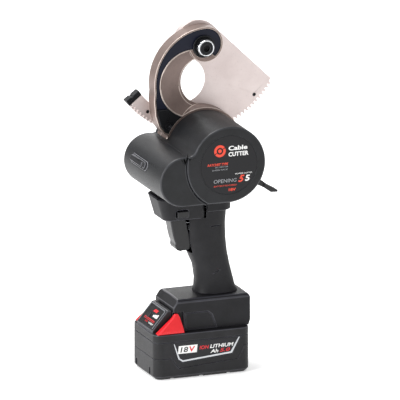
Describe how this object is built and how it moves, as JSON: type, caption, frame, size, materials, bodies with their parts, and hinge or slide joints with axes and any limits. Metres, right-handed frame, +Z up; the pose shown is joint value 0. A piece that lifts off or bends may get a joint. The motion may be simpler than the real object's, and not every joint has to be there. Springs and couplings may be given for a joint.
{
  "type": "battery cable cutter",
  "caption": "Pistol-grip battery cable cutter: hooked fixed blade, toothed swinging blade driven by a pinion, round gear drum and motor barrel, grip with trigger, slide-on battery.",
  "frame": {"origin": "centre of the battery's underside, on the surface the tool stands on", "axes": "+X to the back of the tool, away from the trigger; -Y to the labelled side; +Z up"},
  "size_m": [0.186, 0.1243, 0.4182],
  "materials": {
    "battery_shell": "moulded, fine texture",
    "latch_red": "moulded red, satin",
    "gauge_face": "smooth dark film",
    "cell_steel": "shrink-wrapped cells",
    "inner_plastic": "moulded",
    "board_green": "solder mask",
    "plate_grey": "printed plate with a bright rim",
    "screw_steel": "zinc plated",
    "grip_plastic": "moulded, fine texture",
    "trigger_plastic": "moulded, smooth",
    "housing_plastic": "moulded, satin",
    "label_film": "printed film",
    "lens_black": "dark lens",
    "tool_steel": "satin plated, warm grey",
    "painted_navy": "semi-gloss paint",
    "black_steel": "black oxide",
    "bolt_steel": "bright plated",
    "bronze": "turned bush",
    "gear_steel": "cut steel",
    "copper_wound": "wound core"
  },
  "bodies": {
    "frame": {"foot_block": "grip_plastic", "contact_block": "inner_plastic", "handle_left_shell": "grip_plastic", "handle_right_shell": "grip_plastic", "handle_screws": "screw_steel", "grip_collar": "grip_plastic", "trigger_shroud": "grip_plastic", "trigger_switch": "inner_plastic", "trigger_spring": "screw_steel", "controller_board": "board_green", "gear_case": "housing_plastic", "motor_cover": "housing_plastic", "end_label": "label_film", "work_light": "grip_plastic", "work_light_lens": "lens_black", "cover_bolts": "black_steel", "cutting_hook": "tool_steel", "hook_face_plate": "painted_navy", "root_clamp": "black_steel", "root_screw": "black_steel", "pivot_bolt": "black_steel", "pivot_nut": "bolt_steel", "pivot_washer": "black_steel", "pinion_spacer": "gear_steel", "far_cover": "housing_plastic", "shaft_bearings": "bolt_steel", "lever_pin": "screw_steel", "idler_pin": "screw_steel", "gearbox_housing": "inner_plastic", "motor_can": "gear_steel", "motor_bearings": "inner_plastic", "case_screws": "black_steel"},
    "battery": {"battery_lower_case": "battery_shell", "battery_upper_case": "battery_shell", "gauge_panel": "gauge_face", "cell_pack": "cell_steel", "cell_holder": "inner_plastic", "battery_board": "board_green", "battery_side_plates": "plate_grey", "battery_screws": "screw_steel"},
    "latch_left": {"battery_latch_left": "latch_red"},
    "latch_right": {"battery_latch_right": "latch_red"},
    "gauge_key": {"gauge_button": "inner_plastic"},
    "trigger_body": {"trigger": "trigger_plastic"},
    "lock": {"lock_button": "trigger_plastic"},
    "blade": {"moving_blade": "tool_steel", "tail_stop": "black_steel", "pivot_bush": "bronze"},
    "drive": {"pinion_shaft": "gear_steel", "drum_gear": "gear_steel", "ratchet_wheel": "gear_steel"},
    "idler": {"idler_gear": "gear_steel"},
    "carrier": {"output_gear": "gear_steel", "planet_gears": "gear_steel"},
    "motor_rotor": {"rotor": "copper_wound", "cooling_fan": "inner_plastic"},
    "lever": {"release_lever": "black_steel", "holding_pawl": "gear_steel"}
  },
  "joints": [
    {"name": "blade_swing", "type": "hinge", "parent": "frame", "child": "blade", "pos_m": [0.0246, 0.0486, 0.3907], "axis": [0, 1, 0], "range_deg": [-31, 50]},
    {"name": "drive_turn", "type": "hinge", "parent": "frame", "child": "drive", "pos_m": [0.0246, 0, 0.2657], "axis": [0, 1, 0], "continuous": true},
    {"name": "idler_turn", "type": "hinge", "parent": "frame", "child": "idler", "pos_m": [-0.0149, -0.05, 0.24183], "axis": [0, 1, 0], "continuous": true},
    {"name": "carrier_turn", "type": "hinge", "parent": "frame", "child": "carrier", "pos_m": [-0.0324, -0.05, 0.2496], "axis": [0, 1, 0], "continuous": true},
    {"name": "rotor_turn", "type": "hinge", "parent": "frame", "child": "motor_rotor", "pos_m": [-0.0324, 0, 0.2496], "axis": [0, 1, 0], "continuous": true},
    {"name": "lever_press", "type": "hinge", "parent": "frame", "child": "lever", "pos_m": [0.0576, -0.04, 0.2417], "axis": [0, 1, 0], "range_deg": [0, 14], "stiffness_Nm_per_rad": 0.3, "springref_deg": -8.59},
    {"name": "trigger_pull", "type": "slide", "parent": "frame", "child": "trigger_body", "axis": [1, 0, 0], "range_m": [0, 0.006], "stiffness_N_per_m": 400, "springref_m": -0.004},
    {"name": "lock_slide", "type": "slide", "parent": "frame", "child": "lock", "axis": [0, 1, 0], "range_m": [0, 0.004]},
    {"name": "battery_slide", "type": "slide", "parent": "frame", "child": "battery", "axis": [-1, 0, 0], "range_m": [0, 0.11]},
    {"name": "latch_left_press", "type": "slide", "parent": "battery", "child": "latch_left", "axis": [0, 1, 0], "range_m": [0, 0.0024], "stiffness_N_per_m": 400, "springref_m": -0.002},
    {"name": "latch_right_press", "type": "slide", "parent": "battery", "child": "latch_right", "axis": [0, -1, 0], "range_m": [0, 0.0024], "stiffness_N_per_m": 400, "springref_m": -0.002},
    {"name": "gauge_press", "type": "slide", "parent": "battery", "child": "gauge_key", "axis": [0.7611, 0, -0.6486], "range_m": [0, 0.0006], "stiffness_N_per_m": 300, "springref_m": -0.001}
  ],
  "couplings": [
    {"joint": "drive_turn", "follows": "blade_swing", "ratio": -7.3333},
    {"joint": "idler_turn", "follows": "blade_swing", "ratio": 26.4},
    {"joint": "carrier_turn", "follows": "blade_swing", "ratio": -29.333}
  ]
}
